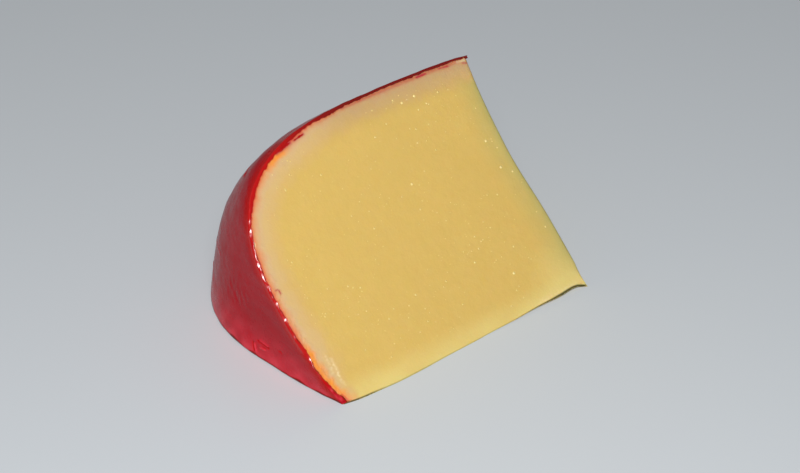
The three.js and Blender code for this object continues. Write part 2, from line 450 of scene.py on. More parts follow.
def curled(points):
    """Draws points near the sharp edge up the cut where its corner has curled, and out where its toe bows."""
    x, y, z = points.T
    r = np.hypot(y, z)
    lift = curve(CURL_LIFT)(x) * np.clip(1 - r / CURL_REACH, 0, 1) ** 2
    bow = curve(TOE)(x) * np.clip(1 - r / TOE_REACH, 0, 1) ** 2
    raised_z = np.maximum(z + lift * math.sin(WEDGE_ANGLE), 0)
    return np.column_stack([x, y + lift * math.cos(WEDGE_ANGLE) - bow, raised_z])


def inset_outline(share, angle, depth):
    """(x, r) points that lie a depth inside the wax's outside."""
    x, r, out_x, out_r = outline_at(shared_s(share, angle, depth))
    return np.column_stack([x - out_x * depth, np.maximum(r - out_r * depth, 0)])


def distance_to_wax(x, r):
    """How far points of a radial cut lie inside the wax's outer edge, and s of the nearest point of it."""
    s = np.linspace(0, side_end(WEDGE_ANGLE), WAX_SAMPLES)
    wax_x, wax_r, _, _ = outline_at(s)
    distance = np.empty(len(x))
    nearest = np.empty(len(x))
    for start in range(0, len(x), POINTS_AT_ONCE):
        part = slice(start, start + POINTS_AT_ONCE)
        gaps = np.hypot(x[part, None] - wax_x, r[part, None] - wax_r)
        best = gaps.argmin(axis=1)
        distance[part] = gaps[np.arange(len(best)), best]
        nearest[part] = s[best]
    return distance, nearest


def cut_loop(cut_x, angle):
    """The closed loop of (x, r) points round a radial cut: thin edge, cross cut, then back under the wax."""
    thin_edge = np.column_stack([np.linspace(0, cut_x(0.0), THIN_EDGE_POINTS), np.zeros(THIN_EDGE_POINTS)])
    cross = np.column_stack([cut_x(PASTE_OUT[1:]), PASTE_OUT[1:]])
    side = inset_outline(PASTE_SHARES, angle, PASTE_INSET)[::-1]
    return np.vstack([side[-1:], thin_edge[1:], cross, side[1:-1]])


def inside(points, loop, margin):
    """The points that lie inside a closed loop and at least a margin from its corners."""
    around = np.vstack([loop, loop[:1]])
    crossed = np.zeros(len(points), bool)
    near = np.full(len(points), math.inf)
    for (x0, y0), (x1, y1) in zip(around[:-1], around[1:]):
        near = np.minimum(near, np.hypot(points[:, 0] - x0, points[:, 1] - y0))
        if y0 != y1:
            spans = (y0 > points[:, 1]) != (y1 > points[:, 1])
            crossed ^= spans & (points[:, 0] < (x1 - x0) * (points[:, 1] - y0) / (y1 - y0) + x0)
    return points[crossed & (near > margin)]


def spread_out(points, gap):
    """The points without those that share a cell, a gap wide, with an earlier one."""
    cells = np.round(points / gap).astype(int)
    _, first = np.unique(cells, axis=0, return_index=True)
    return points[np.sort(first)]


def upper_cut_height(x, r, inset):
    """The upper cut's relief: the knife's waves, the crumbled strip beside the wax and the drop under it."""
    wave = relief(x, r, KNIFE_WAVES) + relief(x, r * KNIFE_LINES_STRETCH, KNIFE_LINES)
    strip = smoothstep(*CRUMBS_BESIDE_WAX, inset) * smoothstep(*CRUMBS_NEAR_TIP, np.hypot(x - TIP_X, r))
    crumbled = relief(x, r, CRUMBS) * strip
    fade = faded(UPPER_WAVES_FADES, r, cross_cut_at(r) - x, inset)
    return (wave + crumbled) * fade - DROP * faded(DROP_FADES, inset, r)


def upper_cut_places(x, r):
    """The upper cut's points with relief and rounded edge, how far inside the rim they lie, and their s."""
    distance, depth = rounded(np.maximum(cross_cut_at(r) - x, 0), edge_radius(r))
    away, s = distance_to_wax(x, r)
    inset = away - rim_width(s)
    points = turned(cross_cut_at(r) - distance, r, WEDGE_ANGLE)
    return raised(points, upper_cut_height(x, r, inset) - depth), inset, s


def upper_cut_rows():
    """Rows of (x, r) points along the upper cut's wax, its rounded edge and its sharp edge."""
    for row in range(1, WAX_BANDS):
        yield inset_outline(PASTE_SHARES[1:], WEDGE_ANGLE, PASTE_INSET + WAX_BAND_STEP * row)
    for inward in EDGE_BANDS:
        yield np.column_stack([cross_cut_at(PASTE_OUT) - inward, PASTE_OUT])[1:-1]
    along = np.linspace(*THIN_BAND_SPAN)
    for out in THIN_BANDS:
        yield np.column_stack([along, np.full(len(along), out)])


def upper_cut():
    """The big cut face, with its relief, its rounded edge and the masks for its colours."""
    loop = cut_loop(cross_cut_at, WEDGE_ANGLE)
    from_cross_cut, from_edge = UPPER_CELLS_FROM
    cells = lattice(loop.min(axis=0), loop.max(axis=0), UPPER_CELL)
    cells = cells[(cross_cut_at(cells[:, 1]) - cells[:, 0] > from_cross_cut) & (cells[:, 1] > from_edge)]
    away, _ = distance_to_wax(*cells.T)
    cells = cells[away > PASTE_INSET + WAX_BAND_STEP * WAX_BANDS]
    inner = inside(spread_out(np.vstack([*upper_cut_rows(), cells]), UPPER_GAP), loop, UPPER_GAP)
    flat, faces = filled(loop, inner)
    x, r = flat.T
    points, inset, s = upper_cut_places(x, r)
    return points, faces, upper_cut_masks(x, r, inset, s)


# ---- where the paste's colours change


# Some of these masks paint light and shade: a glow at the thin edge, shade at the rounded edge and along the
# top, a shadow under the sharp edge, and one highlight among the pale marks
PASTE_MASKS = ("near_wax", "orange", "thin", "edge", "smear", "pale", "painted_top_shade", "edge_shadow")
NEAR_WAX_REACH = 9  # the paste's colour changes this far in from the wax
NEAR_WAX_PACE = ((0, 2.6), (5, 1.5), (10, 1), (84, 1), (98, 1.4), (143, 1.2))  # how fast it changes, by s
NEAR_WAX_WANDER = ((0.35, 6, 21), (0.12, 2, 22))
WANDER_FADE = (0, 2)
LOWER_NEAR_WAX_FROM = 1
CROSS_NEAR_WAX_WANDER = ((0.4, 6, 33),)
ORANGE = (  # how strongly the paste is stained beside the wax, by s
    (0, 0.5), (2.5, 0.8), (5, 1), (16, 0.9), (20, 0.15), (60, 0.1), (70, 0.3), (74, 1), (78, 0.9), (81, 0),
    (143, 0),
)
ORANGE_FADE = (2.6, 0.3)
ORANGE_WANDER = ((0.3, 3, 23),)
ORANGE_UNDER_RIM = 0.35
ORANGE_PAST_RIM = (-0.1, 0.45)
# Painted glow: the paste is lighter and more lemon near the thin sharp edge and at its lifted corner, as if
# light shone through them
THIN_GLOW_FADE = (7, 0.3)
THIN_GLOW_PATCHES = ((0.15, 14, 25),)
GLOW_CORNER = (80, 2)  # its place
GLOW_CORNER_FADE = (18, 4)
GLOW_CORNER_STRENGTH = 0.8
EDGE_SHADE = ((0.55, (10, 1)), (0.35, (3.5, 0.1)))  # painted shade, darker and greener along the rounded edge: strength, fade from the cross cut
EDGE_SHADE_FROM_AXIS = (0, 12)
# The same painted shade on the cross cut, beside the rounded edge
CROSS_EDGE_SHADE = (1.6, 0.1)
CROSS_EDGE_SHADE_FROM_AXIS = (2, 14)
# Painted shade: the paste is darker along the top side, beside the wax
TOP_SHADE_ALONG = (82, 104)
TOP_SHADE_INWARD = (9, 1)
SHADOW_LINE_FADE = (1.2, 0.6)  # in widths of the painted shadow line
SMEARS = (  # of wax on the upper cut: strokes in (x, r)
    ((10.5, 66.9), (16.2, 68.5), 0.6, 0.95),
    ((16.8, 68.3), (20.8, 69.1), 0.4, 0.85),
    ((33.8, 71.2), (46.0, 71.3), 0.35, 0.4),
    ((46.0, 71.2), (62.0, 71.0), 0.4, 0.3),
    ((62.0, 71.0), (74.5, 70.4), 0.4, 0.25),
    ((59.6, 71.1), (63.2, 71.0), 0.3, 0.95),
    ((67.4, 70.9), (70.6, 70.5), 0.25, 0.75),
    ((75.2, 69.8), (77.2, 69.2), 0.28, 0.75),
    ((-6.5, 34.3), (-5.4, 34.4), 0.22, 0.8),
    ((-5.3, 34.3), (-5.1, 32.9), 0.22, 0.85),
)
SMEAR_PATCHES = ((0.25, 2.4, 24),)
SCRATCHES_AND_HIGHLIGHT = (  # scratches beside the wax, and a painted highlight along the lifted corner's edge: strokes in (x, r)
    ((-0.9, 13.5), (-0.5, 8.5), 0.35, 0.5),
    ((0.4, 12.5), (0.9, 7.6), 0.4, 0.55),
    ((0.2, 8.0), (1.2, 4.1), 0.35, 0.6),
    ((-6.6, 50.5), (-5.9, 46.5), 0.25, 0.9),
    ((73.4, 70.7), (76.9, 70.3), 0.3, 2),
    # painted highlight along the lifted corner's edge
    ((66.0, 0.9), (79.5, 1.0), 0.9, 0.35),
)
PALE_SHARE = 0.8
PALE_PATCHES = ((0.8, 0.9, 26),)


def upper_cut_masks(x, r, inset, s):
    """Where the upper cut's colours change: by the wax, at its two edges and in marks. The edges' colours are
    painted light and shade, as are the darkening along the top and the highlight in one pale mark.
    """
    wander = relief(x, r, NEAR_WAX_WANDER) * smoothstep(*WANDER_FADE, inset)
    stained = (inset + wander) * curve(NEAR_WAX_PACE)(s)
    orange = curve(ORANGE)(s) * smoothstep(*ORANGE_FADE, inset + relief(s, inset, ORANGE_WANDER))
    orange = orange * (ORANGE_UNDER_RIM + (1 - ORANGE_UNDER_RIM) * smoothstep(*ORANGE_PAST_RIM, inset))
    # Painted glow of light through the thin sharp edge and its lifted corner
    patches = 0.85 + relief(x, r, THIN_GLOW_PATCHES)
    corner = smoothstep(*GLOW_CORNER_FADE, np.hypot(x - GLOW_CORNER[0], r - GLOW_CORNER[1]))
    thin = smoothstep(*THIN_GLOW_FADE, r) * patches + GLOW_CORNER_STRENGTH * corner
    from_cross_cut = cross_cut_at(r) - x
    # Painted shade along the rounded edge
    edge = sum(strength * smoothstep(*fade, from_cross_cut) for strength, fade in EDGE_SHADE)
    smear = strokes_at(x, r, SMEARS) * (1 + relief(x, r, SMEAR_PATCHES))
    pale = strokes_at(x, r, SCRATCHES_AND_HIGHLIGHT) * (PALE_SHARE + relief(x, r, PALE_PATCHES))
    return {
        "near_wax": np.clip(1 - stained / NEAR_WAX_REACH, 0, 1),
        "orange": orange,
        "thin": np.clip(thin, 0, 1),
        "edge": smoothstep(*EDGE_SHADE_FROM_AXIS, r) * edge,
        "smear": np.clip(smear, 0, 1),
        "pale": np.clip(pale, 0, 1),
        # painted shade along the top side
        "painted_top_shade": smoothstep(*TOP_SHADE_ALONG, s) * smoothstep(*TOP_SHADE_INWARD, inset),
        # painted shadow under the sharp edge
        "edge_shadow": smoothstep(*SHADOW_LINE_FADE, r / curve(SHADOW_LINE_WIDTH)(x)) * curve(SHADOW_LINE_STRENGTH)(x),
    }


def masks_with(count, **given):
    return {name: given.get(name, np.zeros(count)) for name in PASTE_MASKS}


# ---- the paste's other sides


def lower_cut():
    """The cut that the wedge lies on."""

    def cut_x(r):
        return cross_cut_at(r * math.cos(WEDGE_ANGLE))

    loop = cut_loop(cut_x, 0)
    cells = lattice(loop.min(axis=0), loop.max(axis=0), LOWER_CELL)
    near_edge = lattice(*LOWER_EDGE_CELLS)
    inner = inside(np.vstack([cells[cells[:, 1] > LOWER_CELLS_FROM], near_edge]), loop, LOWER_GAP)
    flat, faces = filled(loop, inner)
    away, _ = distance_to_wax(*flat.T)
    near_wax = np.clip(1 - (away - LOWER_NEAR_WAX_FROM) / NEAR_WAX_REACH, 0, 1)
    return turned(flat[:, 0], flat[:, 1], 0), faces, masks_with(len(flat), near_wax=near_wax)


def cross_cut_flat():
    """The cross cut as triangles in (v, w): v up the upper cut from the axis, w straight in from that cut."""
    radius = PASTE_OUT[-1]
    turn = np.linspace(0, WEDGE_ANGLE, UNDER_WAX_STEPS)[1:]
    top = np.column_stack([PASTE_OUT, np.zeros(len(PASTE_OUT))])
    arc = np.column_stack([radius * np.cos(turn), radius * np.sin(turn)])
    bottom = PASTE_OUT[::-1][1:-1, None] * np.array([[math.cos(WEDGE_ANGLE), math.sin(WEDGE_ANGLE)]])
    loop = np.vstack([top, arc, bottom])
    outward = PASTE_OUT[CROSS_BANDS_SKIP:-1]
    bands = [np.column_stack([outward, np.full(len(outward), inward)]) for inward in EDGE_BANDS]
    cells = lattice((0, 0), (radius, radius), CROSS_CELL)
    return filled(loop, inside(np.vstack([cells[cells[:, 1] > CROSS_CELLS_FROM], *bands]), loop, CROSS_GAP))


def cross_cut():
    """The cut across the wedge, square to the upper cut."""
    flat, faces = cross_cut_flat()
    v, w = flat.T
    depth, back = rounded(w, edge_radius(v))
    low_edge = v * math.sin(WEDGE_ANGLE) - w * math.cos(WEDGE_ANGLE)
    inset = CUT_RADIUS - np.hypot(v, w) - rim_width(OUTLINE_S[-1])
    wave = relief(v, w, SAW_WAVES) + relief(v * SAW_LINES_STRETCH, w, SAW_LINES)
    wave = wave * faded(CROSS_WAVES_FADES, w, low_edge, inset)
    y = v * math.cos(WEDGE_ANGLE) + depth * math.sin(WEDGE_ANGLE)
    z = v * math.sin(WEDGE_ANGLE) - depth * math.cos(WEDGE_ANGLE)
    points = np.column_stack([cross_cut_at(v) - back + wave, y, np.maximum(z, 0)])
    shared_edge = w == 0
    points[shared_edge], _, _ = upper_cut_places(cross_cut_at(v[shared_edge]), v[shared_edge])
    near_wax = np.clip(1 - (inset + relief(v, w, CROSS_NEAR_WAX_WANDER)) / NEAR_WAX_REACH, 0, 1)
    # Painted shade along the rounded edge
    edge = smoothstep(*CROSS_EDGE_SHADE, w) * smoothstep(*CROSS_EDGE_SHADE_FROM_AXIS, v)
    return points, faces, masks_with(len(flat), near_wax=near_wax, edge=edge)


def under_wax():
    """The paste's outer side, which the wax hides."""
    rows = []
    for angle in np.linspace(0, WEDGE_ANGLE, UNDER_WAX_STEPS):
        x, r = inset_outline(PASTE_SHARES, angle, PASTE_INSET).T
        rows.append(turned(x, r, angle))
    rows[-1], _, _ = upper_cut_places(x, r)
    points = np.vstack(rows)
    faces = grid_faces(UNDER_WAX_STEPS, len(PASTE_SHARES))
    return points, faces, masks_with(len(points), near_wax=np.ones(len(points)))


def cheese_paste():
    points, faces, masks = [], [], []
    for part_points, part_faces, part_masks in (upper_cut(), lower_cut(), cross_cut(), under_wax()):
        faces += shifted(part_faces, sum(len(p) for p in points))
        points.append(part_points)
        masks.append(part_masks)
    joined = {name: np.concatenate([m[name] for m in masks]) for name in PASTE_MASKS}
    return mesh_object("cheese_paste", curled(np.vstack(points)), faces, joined, weld=PASTE_WELD)


# ---- the wax


WRINKLES = (  # in the wax's side: strokes in (s, degrees)
    ((30.8, 10.4), (26.0, 12.0), 0.28, -0.3),
    ((30.2, 11.6), (26.4, 13.2), 0.3, 0.25),
    ((28.6, 9.2), (27.0, 10.2), 0.24, -0.15),
    ((29.4, 7.6), (27.2, 8.8), 0.28, 0.3),
    ((31.4, 7.8), (30.2, 3.2), 0.3, 0.35),
    ((32.2, 7.8), (31.2, 2.8), 0.26, -0.3),
    ((64.0, 17.4), (54.5, 22.4), 0.5, 0.15),
    ((61.5, 11.0), (56.0, 9.0), 0.5, 0.14),
    ((72.9, 38.6), (72.0, 37.6), 0.35, -0.35),
    ((71.4, 38.8), (69.6, 38.4), 0.35, 0.25),
    ((22.9, 18.2), (21.6, 18.9), 0.3, -0.2),
)
SOFT_WAVES = ((0.06, 17, 41), (0.035, 6.5, 42), (0.01, 2.4, 43))
SOFT_FADE = (0, 8)  # along s
FOOT_ROUNDING = 0.6  # above the lower cut
FOOT_TUCK = 0.6  # share of the rounding by which the foot draws in
FOOT_TUCK_FADE = (0, 4)  # along s

# The thumb's marks, in s and height round the side
PRINT_PLACE = (43.5, 16)
PRINT_REACH = 4.2
PRINT_ALONG = (0.42, 0.91)  # the direction of its lines
PRINT_STRETCH = 4
PRINT_WAVES = ((0.07, 1.35, 49),)

RIM_PROFILE = (  # across the rim inwards, height of a rolled lip, height of a level edge, painted shade of the groove
    (-0.04, -0.3, -0.2, 0), (0.02, 0.1, 0.2, 0), (0.12, 0.28, 0.55, 0), (0.24, 0.5, 0.8, 0),
    (0.36, 0.72, 0.93, 0), (0.48, 0.92, 0.98, 0), (0.57, 1.0, 1.0, 0.1), (0.65, 0.98, 1.0, 0.4),
    (0.73, 0.8, 0.98, 0.8), (0.81, 0.4, 0.9, 1), (0.9, 0.05, 0.6, 1), (1.0, -0.3, 0.0, 1),
)
RIM_FOOT = 0.25  # the rim's inner edge reaches this far into the paste
OUTER_RIM = 0.6  # share of the way across it
PAST_TIP = (3, 9)  # fade along s, from the tip's plain wax to the bright rim
# Painted sheen: pink streaks on the tip's wax
TIP_SHEEN = (0.45, 1.6, 51)
TIP_SHEEN_MIDDLE = 0.35
TIP_SHEEN_MOST = 0.9
TIP_SHEEN_STRETCH = 2.4

# The side's colours, all of them painted light and shade
PAINTED_RIM_BAND = (3.4, 0.6)  # painted light and shade: the side just below the rim takes the rim's bright red, maroon along the top; fade below the rim
FOOT_SHADOW_LINE = (1.2, 0.5)  # painted maroon shadow line along the foot: fade above the lower cut
FOOT_WANDER = ((0.3, 5, 50),)
CREASE_SHADING = 2.5  # painted shade in the grooves and painted highlight on the ridges, by millimetre
RIDGE_HIGHLIGHT_MOST = 0.8
FOOT_REFLECTION = ((0.6, (14, 1)), (0.4, (4, 1.2)))  # painted reflection of the floor, pink near the foot: strength, fade above the lower cut
FOOT_REFLECTION_SHARE = 0.9
FOOT_REFLECTION_PATCHES = ((0.3, 6, 52),)

# How the wax's mesh is divided
WAX_LENGTH_STEPS = 520
WAX_TURN_STEPS = 150
WAX_INNER_STEPS = 8
FIRST_SHARE = 0.0012  # of the way along, so that the coat's tip isn't a point
SHARE_SAMPLES = 3000
FINE_MARKS = ((20, 26), (74, 66))  # fades in and out along s
FINE_GAIN = 0.9  # how much closer the columns stand there
TURN_CROWDING = 1.6
SIDE_TOP_GAP = 0.002  # between the side and the rim, as a share of the turn
INNER_TOP = 0.985


def brow(s, below):
    """How far the side stands out at a distance below the rim, so that it rounds over into it."""
    rounding = np.sqrt(1 - np.clip(1 - below / BROW_DEPTH, 0, 1) ** 2)
    return curve(BROW)(s) * rounding * smoothstep(BROW_FADE, BROW_DEPTH, below)


def thumb_marks(s, around):
    """The fine crooked lines that a thumb left in the wax."""
    towards_s, towards_around = PRINT_ALONG
    along = towards_s * s + towards_around * around
    across = towards_around * s - towards_s * around
    off = (s - PRINT_PLACE[0]) ** 2 + (around - PRINT_PLACE[1]) ** 2
    return relief(along / PRINT_STRETCH, across, PRINT_WAVES) * np.exp(-(off / PRINT_REACH**2))


def wrinkles(s, angle):
    """The heights of the wrinkles at a place on the side."""
    for start, end, width, height in WRINKLES:
        _, middle, _, _ = outline_at((start[0] + end[0]) / 2)
        places = [(place[0], middle * math.radians(place[1])) for place in (start, end)]
        yield height * stroke(s, middle * angle, *places, width)


def wax_relief(s, angle):
    """How far the wax's side stands out of the turned outline."""
    _, r, _, _ = outline_at(s)
    around = r * angle
    below = np.maximum(r * (WEDGE_ANGLE - angle), 0)
    soft = (relief(s, around, SOFT_WAVES) + brow(s, below)) * smoothstep(*SOFT_FADE, s)
    standing = fullness(s, np.degrees(angle)) + soft + thumb_marks(s, around) + sum(wrinkles(s, angle))
    foot = FOOT_ROUNDING * (1 - np.clip(around / FOOT_ROUNDING, 0, 1)) ** 2 * FOOT_TUCK
    return standing - foot * smoothstep(*FOOT_TUCK_FADE, s)


def wax_column(share, angle, depth, height=0):
    """A line of the wax shell's points from the axis to the cross cut, at a depth inside its outside."""
    s = shared_s(share, angle)
    x, r, out_x, out_r = outline_at(s)
    _, top_r, _, _ = outline_at(shared_s(share, WEDGE_ANGLE))
    depth = depth - curve(PEEL)(s) * smoothstep(*PEEL_FADE, top_r * (WEDGE_ANGLE - angle))
    past = PROUD * smoothstep(*PROUD_FADE, share)
    points = raised(turned(x - out_x * depth + past, np.maximum(r - out_r * depth, 0), angle), height)
    points[:, 2] = np.maximum(points[:, 2], 0)
    return points


def wax_shares():
    """Shares of the way from the axis to the cross cut, closer together where the side has its fine marks."""
    share = np.linspace(FIRST_SHARE, 1, SHARE_SAMPLES)
    s = shared_s(share, WEDGE_ANGLE)
    crowd = np.cumsum(1 + FINE_GAIN * faded(FINE_MARKS, s, s))
    return np.interp(np.linspace(crowd[0], crowd[-1], WAX_LENGTH_STEPS), crowd, share)


def side_columns(share, s):
    """The side from its foot to the rim: columns of points, with how dark each is, from painted light and
    shade, and how pink each is, from painted sheen.
    """
    _, r, _, _ = outline_at(s)
    for turn in np.linspace(0, 1, WAX_TURN_STEPS):
        angle = WEDGE_ANGLE * (1 - (1 - turn) ** TURN_CROWDING) * (1 - SIDE_TOP_GAP * turn)
        side_s = shared_s(share, angle)
        points = wax_column(share, angle, -wax_relief(side_s, angle))
        heights = list(wrinkles(side_s, angle))
        crease_shade = sum(np.clip(-CREASE_SHADING * height, 0, 1) for height in heights)
        ridge_highlight = sum(np.clip(CREASE_SHADING * height, 0, RIDGE_HIGHLIGHT_MOST) for height in heights)
        painted_band = (0.5 + 0.5 * curve(RIM_SHADE)(s)) * smoothstep(*PAINTED_RIM_BAND, r * (WEDGE_ANGLE - angle))
        above_foot = r * angle + relief(s, 0, FOOT_WANDER)
        dark = np.maximum(painted_band, smoothstep(*FOOT_SHADOW_LINE, above_foot)) + crease_shade
        floor_reflection = sum(strength * smoothstep(*fade, above_foot) for strength, fade in FOOT_REFLECTION)
        pink = floor_reflection * (FOOT_REFLECTION_SHARE + relief(side_s, above_foot, FOOT_REFLECTION_PATCHES)) + ridge_highlight
        yield points, np.clip(dark, 0, 1), np.clip(pink, 0, 1)


def rim_columns(share, s, width):
    """The rim from outside to inside: columns of points, with how dark each is, partly from painted shade,
    and how pink each is, from painted sheen.
    """
    rolled = 1 - curve(LIP_LEVEL)(s)
    height = curve(LIP_HEIGHT)(s) * np.clip(1 + curve(WAVINESS)(s) * relief(s, 0, LIP_WAVES), *LIP_UNEVEN)
    lean = (curve(WAVINESS)(s) * relief(s, 0, LEAN_WAVES) + curve(LEAN)(s)) * rolled
    edge_relief = wax_relief(s, WEDGE_ANGLE)
    past_tip = smoothstep(*PAST_TIP, s)
    sheen_height, *sheen_waves = TIP_SHEEN
    for across, rolled_height, level_height, groove in RIM_PROFILE:
        out = edge_relief * (1 - across) + lean * math.sin(math.pi * np.clip(across, 0, 1))
        rise = height * (rolled_height * rolled + level_height * (1 - rolled)) - RIM_FOOT * (across == 1)
        outer = across < OUTER_RIM
        bright = past_tip if outer else 1
        # Painted shade: maroon along the top and in the rolled lip's groove
        dark = 0.5 * bright + 0.5 * np.maximum(curve(RIM_SHADE)(s), groove * rolled)
        # Painted pink sheen on the tip's wax
        sheen_streaks = TIP_SHEEN_MIDDLE + sheen_height * ripples(s, across * TIP_SHEEN_STRETCH, *sheen_waves)
        pink = (1 - past_tip) * outer * np.clip(sheen_streaks, 0, TIP_SHEEN_MOST)
        yield wax_column(share, WEDGE_ANGLE, width * across - out, rise), dark, pink


def inner_columns(share, width):
    """The wax's inside from the rim to the foot, which the paste hides."""
    for angle in np.linspace(WEDGE_ANGLE * INNER_TOP, 0, WAX_INNER_STEPS):
        yield wax_column(share, angle, WAX_DEPTH * width), np.ones(len(share)), np.zeros(len(share))


def wax_coat():
    """The wax as a closed shell: side, rim on the upper cut, inside and foot."""
    share = wax_shares()
    s = shared_s(share, WEDGE_ANGLE)
    width = rim_width(s)
    columns = [*side_columns(share, s), *rim_columns(share, s, width), *inner_columns(share, width)]
    points, dark, pink = (np.stack(values, axis=1) for values in zip(*columns))
    count = len(columns)
    faces = grid_faces(len(share), count, wrap=True)
    last = (len(share) - 1) * count
    faces += [list(range(count))[::-1], [last + i for i in range(count)]]
    # The rim mask runs from the side's red through the cut edge's bright red to maroon painted shade; the
    # foot mask is painted pink sheen and reflection
    return mesh_object("wax_coat", points.reshape(-1, 3), faces, {"rim": dark, "foot": pink})


# ---- small things on the upper cut


BRIGHT_BEADS = ((71.8, 47.7), (72.7, 39.5), (44.7, 45.2), (56.7, 66.7), (52.3, 66.3), (62.5, 11.8))  # (x, r)
BRIGHT_BEAD_SIZE = 0.42
BEAD_COUNT = 300
BEAD_SEED = 61
BEAD_SIZES = (0.11, 0.3)
BEAD_SMALLNESS = 3  # the higher, the more of them are small
BEAD_X = (0, 78)
BEAD_R = (4, 70)
BEAD_CROWDS = ((0.5, 22, 62),)
BEADS_FROM_CROSS_CUT = 1.5
BEADS_FROM_WAX = 3
BEAD_HEIGHT = 0.55  # as a share of its size
BEAD_SUNK = 0.12
BEAD_SIDES = 8
BEAD_RINGS = 3
SCRAPS = (  # of wax: (x, r) from, to, width, height
    ((17.0, 68.4), (20.6, 69.1), 0.24, 0.14),
    ((11.2, 67.2), (15.8, 68.4), 0.3, 0.14),
)
SCRAP_DARKNESS = 0.55
SCRAP_STEPS = 16
SCRAP_SIDES = 8
SCRAP_LENGTH = 10  # of its own ripples
SCRAP_WIDTH_WAVES = ((0.3, 3, 63),)
SCRAP_BENDS = (5, 64)  # wavelength, seed
SCRAP_BEND_SHARE = 0.25
SCRAP_UNDERSIDE = 0.5


def on_upper_cut(x, r, height):
    """Points on the upper cut's relief."""
    x, r = np.atleast_1d(np.asarray(x, float)), np.atleast_1d(np.asarray(r, float))
    away, s = distance_to_wax(x, r)
    return raised(turned(x, r, WEDGE_ANGLE), upper_cut_height(x, r, away - rim_width(s)) + height)


def bead_spots():
    """(x, r, size) of every bead: the bright ones, then random ones in loose crowds."""
    rng = np.random.default_rng(BEAD_SEED)
    spots = [(x, r, BRIGHT_BEAD_SIZE) for x, r in BRIGHT_BEADS]
    smallest, largest = BEAD_SIZES
    while len(spots) < BEAD_COUNT:
        x, r = rng.uniform(*BEAD_X), rng.uniform(*BEAD_R)
        away, _ = distance_to_wax(np.array([x]), np.array([r]))
        crowd = 0.5 + relief(x, r, BEAD_CROWDS)
        clear = cross_cut_at(r) - x > BEADS_FROM_CROSS_CUT and away[0] > BEADS_FROM_WAX
        if clear and rng.random() < crowd:
            spots.append((x, r, smallest + (largest - smallest) * rng.random() ** BEAD_SMALLNESS))
    return spots


def fat_beads():
    """Tiny beads of fat sweated out of the cut, as one mesh of low domes."""
    points, faces = [], []
    sides, rings = BEAD_SIDES, BEAD_RINGS
    around = np.linspace(0, 2 * math.pi, sides, endpoint=False)
    for x, r, size in bead_spots():
        base = len(points)
        for ring in range(rings):
            rise = ring / rings
            reach = size * math.sqrt(1 - rise**2)
            height = size * (BEAD_HEIGHT * rise - BEAD_SUNK * (ring == 0))
            points.extend(on_upper_cut(x + reach * np.cos(around), r + reach * np.sin(around), height))
        points.extend(on_upper_cut(x, r, size * BEAD_HEIGHT))
        top = rings * sides
        dome = grid_faces(rings, sides, wrap=True)
        dome += [(top - sides + side, top - sides + (side + 1) % sides, top) for side in range(sides)]
        faces += shifted([*dome, range(sides)[::-1]], base)
    return mesh_object("fat_beads", np.array(points), faces)


def wax_scraps():
    """Loose scraps of wax that the knife dragged onto the cut."""
    points, faces = [], []
    for number, (start, end, width, height) in enumerate(SCRAPS):
        start, end = np.array(start), np.array(end)
        along = (end - start) / np.linalg.norm(end - start)
        across = np.array([-along[1], along[0]])
        base = len(points)
        for t in (step / (SCRAP_STEPS - 1) for step in range(SCRAP_STEPS)):
            place = t * SCRAP_LENGTH
            taper = math.sqrt(max(1 - (2 * t - 1) ** 2, 0)) * (1 + relief(place, number, SCRAP_WIDTH_WAVES))
            bend = SCRAP_BEND_SHARE * width * ripples(place, number, *SCRAP_BENDS)
            middle = start + (end - start) * t + across * bend
            for side in range(SCRAP_SIDES):
                turn = 2 * math.pi * side / SCRAP_SIDES
                x, r = middle + across * (width * taper * math.cos(turn))
                upper = 1 if turn < math.pi else SCRAP_UNDERSIDE
                points.extend(on_upper_cut(x, r, height * taper * math.sin(turn) * upper))
        faces += shifted(grid_faces(SCRAP_STEPS, SCRAP_SIDES, wrap=True), base)
    masks = {"rim": np.full(len(points), SCRAP_DARKNESS), "foot": np.zeros(len(points))}
    return mesh_object("wax_scraps", np.array(points), faces, masks)


# ---- shader nodes


def new_material(name):
    material = bpy.data.materials.new(name)
    material.use_nodes = True
    tree = material.node_tree
    return material, tree, tree.nodes["Principled BSDF"]


def mixed(tree, first, second, factor):
    """A colour mix: each colour is a value or a socket, and so is the factor."""
    mix = tree.nodes.new("ShaderNodeMix")
    mix.data_type = "RGBA"
    for socket, value in ((mix.inputs[6], first), (mix.inputs[7], second), (mix.inputs[0], factor)):
        if isinstance(value, bpy.types.NodeSocket):
            tree.links.new(value, socket)
        else:
            socket.default_value = value
    return mix.outputs[2]


def masked(tree, name):
    attribute = tree.nodes.new("ShaderNodeAttribute")
    attribute.attribute_name = name
    return attribute.outputs["Fac"]


def set_values(node, values):
    for name, value in values.items():
        node.inputs[name].default_value = value


def noise(tree, scale, detail=2, rough=0.5):
    coordinates = tree.nodes.new("ShaderNodeTexCoord")
    texture = tree.nodes.new("ShaderNodeTexNoise")
    set_values(texture, {"Scale": scale, "Detail": detail, "Roughness": rough})
    tree.links.new(coordinates.outputs["Object"], texture.inputs["Vector"])
    return texture.outputs["Fac"]


def ranged(tree, value, low, high, to_low=0, to_high=1):
    span = tree.nodes.new("ShaderNodeMapRange")
    set_values(span, {"From Min": low, "From Max": high, "To Min": to_low, "To Max": to_high})
    tree.links.new(value, span.inputs["Value"])
    return span.outputs["Result"]


def bumped(tree, height, distance, below=None):
    bump = tree.nodes.new("ShaderNodeBump")
    bump.inputs["Distance"].default_value = distance
    tree.links.new(height, bump.inputs["Height"])
    if below is not None:
        tree.links.new(below, bump.inputs["Normal"])
    return bump.outputs["Normal"]


